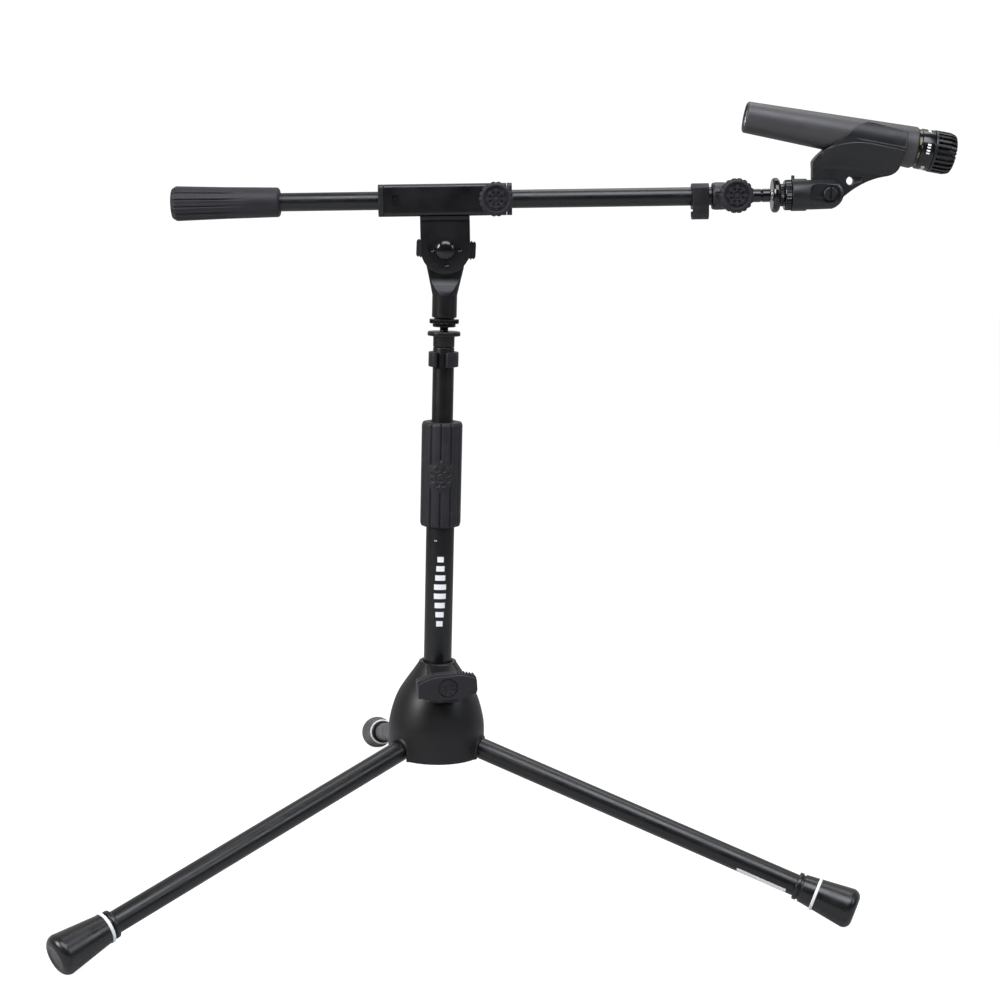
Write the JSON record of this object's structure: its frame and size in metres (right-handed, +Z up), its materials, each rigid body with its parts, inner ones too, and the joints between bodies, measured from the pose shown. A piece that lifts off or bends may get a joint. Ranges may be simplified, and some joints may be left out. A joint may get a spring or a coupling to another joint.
{
  "type": "boom microphone stand",
  "caption": "Short tripod microphone stand with folding legs, telescopic shaft, tilting boom with counterweight, extension rod and an instrument microphone in its clip.",
  "frame": {"origin": "on the floor, under the middle of the plan of the whole stand", "axes": "+Z up, +X along the boom towards the microphone, +Y to the rear, away from the clamping knobs"},
  "size_m": [0.619, 0.5466, 0.5876],
  "materials": {
    "powder_black": "satin black powder coat on steel tube and brackets",
    "hub_black": "fine textured matt black coat on the cast hub",
    "gloss_black": "gloss black finish on turned nuts, bolts and the rod",
    "rubber_black": "moulded black rubber with a slight sheen",
    "grip_black": "soft-touch dark grey moulding",
    "nylon_black": "moulded black nylon",
    "bare_steel": "bare bright steel",
    "bearing_white": "natural white bearing plastic",
    "ring_white": "white rubber ring",
    "brass": "plain turned brass",
    "mic_enamel": "satin dark grey enamel",
    "grille_black": "moulded black grille"
  },
  "bodies": {
    "base": {"base_hub": "hub_black", "hub_bush": "bearing_white", "leg_pin_1": "bare_steel", "leg_pin_2": "bare_steel", "leg_pin_3": "bare_steel"},
    "leg_1": {"leg_tube_1": "powder_black", "leg_heel_1": "nylon_black", "leg_foot_1": "rubber_black", "leg_ring_1": "ring_white"},
    "leg_2": {"leg_tube_2": "powder_black", "leg_heel_2": "nylon_black", "leg_foot_2": "rubber_black", "leg_ring_2": "ring_white"},
    "leg_3": {"leg_tube_3": "powder_black", "leg_heel_3": "nylon_black", "leg_foot_3": "rubber_black", "leg_ring_3": "ring_white"},
    "base_clamp": {"base_knob": "grip_black", "base_knob_screw": "bare_steel"},
    "lower_shaft": {"lower_tube": "powder_black", "shaft_end_plug": "nylon_black", "clutch_seat": "bearing_white", "clutch_collet": "bearing_white"},
    "clutch": {"clutch_grip": "grip_black"},
    "upper_shaft": {"upper_tube": "powder_black", "upper_guide_bush": "bearing_white", "stem_cap": "powder_black", "stem_stud": "bare_steel", "shaft_cable_clip": "nylon_black"},
    "lock_nut": {"lock_ring": "gloss_black"},
    "yoke": {"tilt_yoke": "powder_black"},
    "boom_head": {"tilt_bracket": "powder_black", "friction_disc_front": "bearing_white", "friction_disc_back": "bearing_white", "tilt_bolt": "gloss_black", "boom_sleeve": "powder_black", "sleeve_cap_left": "nylon_black", "sleeve_cap_right": "nylon_black"},
    "tilt_clamp": {"tilt_knob": "grip_black"},
    "sleeve_clamp": {"sleeve_knob": "grip_black", "sleeve_knob_screw": "bare_steel"},
    "boom": {"boom_tube": "powder_black", "counterweight_core": "bare_steel", "counterweight_grip": "grip_black", "boom_cable_clip": "nylon_black", "boom_collar": "nylon_black"},
    "extension_clamp": {"extension_knob": "grip_black", "extension_knob_screw": "bare_steel"},
    "extension": {"extension_rod": "gloss_black", "rod_stud": "bare_steel"},
    "thumb_nut": {"thumb_ring": "gloss_black"},
    "clip_mount": {"clip_adapter": "brass", "clip_base": "nylon_black", "clip_screw": "gloss_black"},
    "clip": {"clip_holder": "nylon_black"},
    "microphone": {"mic_handle": "mic_enamel", "mic_connector": "bare_steel", "mic_head_ring": "gloss_black", "mic_grille": "grille_black", "mic_capsule": "bare_steel"}
  },
  "joints": [
    {"name": "leg_1_fold", "type": "hinge", "parent": "base", "child": "leg_1", "pos_m": [-0.06633, -0.02113, 0.1021], "axis": [-0.9781, -0.2079, 0], "range_deg": [0, 72]},
    {"name": "leg_2_fold", "type": "hinge", "parent": "base", "child": "leg_2", "pos_m": [-0.08078, -0.0656, 0.1021], "axis": [0.6691, -0.7431, 0], "range_deg": [0, 72]},
    {"name": "leg_3_fold", "type": "hinge", "parent": "base", "child": "leg_3", "pos_m": [-0.03504, -0.05588, 0.1021], "axis": [0.309, 0.9511, 0], "range_deg": [0, 72]},
    {"name": "base_knob_turn", "type": "hinge", "parent": "base", "child": "base_clamp", "pos_m": [-0.0524, -0.08666, 0.15483], "axis": [0.2079, -0.9781, 0], "continuous": true},
    {"name": "shaft_height", "type": "slide", "parent": "base", "child": "lower_shaft", "axis": [0, 0, 1], "range_m": [-0.092, 0.018]},
    {"name": "clutch_twist", "type": "hinge", "parent": "lower_shaft", "child": "clutch", "pos_m": [-0.06072, -0.04754, 0.30833], "axis": [0, 0, 1], "range_deg": [-90, 0]},
    {"name": "upper_shaft_height", "type": "slide", "parent": "lower_shaft", "child": "upper_shaft", "axis": [0, 0, 1], "range_m": [-0.038, 0.1]},
    {"name": "lock_ring_turn", "type": "hinge", "parent": "upper_shaft", "child": "lock_nut", "pos_m": [-0.06072, -0.04754, 0.42233], "axis": [0, 0, 1], "continuous": true},
    {"name": "head_swivel", "type": "hinge", "parent": "upper_shaft", "child": "yoke", "pos_m": [-0.06072, -0.04754, 0.43533], "axis": [0, 0, 1], "continuous": true},
    {"name": "boom_tilt", "type": "hinge", "parent": "yoke", "child": "boom_head", "pos_m": [-0.06072, -0.04754, 0.47563], "axis": [0, -1, 0], "range_deg": [-60, 80]},
    {"name": "tilt_knob_turn", "type": "hinge", "parent": "boom_head", "child": "tilt_clamp", "pos_m": [-0.06072, -0.03354, 0.47563], "axis": [0, 1, 0], "continuous": true},
    {"name": "sleeve_knob_turn", "type": "hinge", "parent": "boom_head", "child": "sleeve_clamp", "pos_m": [-0.02423, -0.06254, 0.51306], "axis": [0, -1, 0], "continuous": true},
    {"name": "boom_slide", "type": "slide", "parent": "boom_head", "child": "boom", "axis": [0.9993, 0, 0.0384], "range_m": [-0.125, 0.07]},
    {"name": "extension_knob_turn", "type": "hinge", "parent": "boom", "child": "extension_clamp", "pos_m": [0.14954, -0.06254, 0.51973], "axis": [0, -1, 0], "continuous": true},
    {"name": "extension_slide", "type": "slide", "parent": "boom", "child": "extension", "axis": [0.9993, 0, 0.0384], "range_m": [-0.013, 0.15]},
    {"name": "thumb_ring_turn", "type": "hinge", "parent": "extension", "child": "thumb_nut", "pos_m": [0.18072, -0.04754, 0.52093], "axis": [0.9993, 0, 0.0384], "continuous": true},
    {"name": "clip_swivel", "type": "hinge", "parent": "extension", "child": "clip_mount", "pos_m": [0.19571, -0.04754, 0.52151], "axis": [0.9993, 0, 0.0384], "continuous": true},
    {"name": "clip_tilt", "type": "hinge", "parent": "clip_mount", "child": "clip", "pos_m": [0.21888, -0.04754, 0.5228], "axis": [0, -1, 0], "range_deg": [-55, 15]},
    {"name": "mic_slide", "type": "slide", "parent": "clip", "child": "microphone", "axis": [0.9884, 0, -0.1516], "range_m": [0, 0.12]}
  ]
}
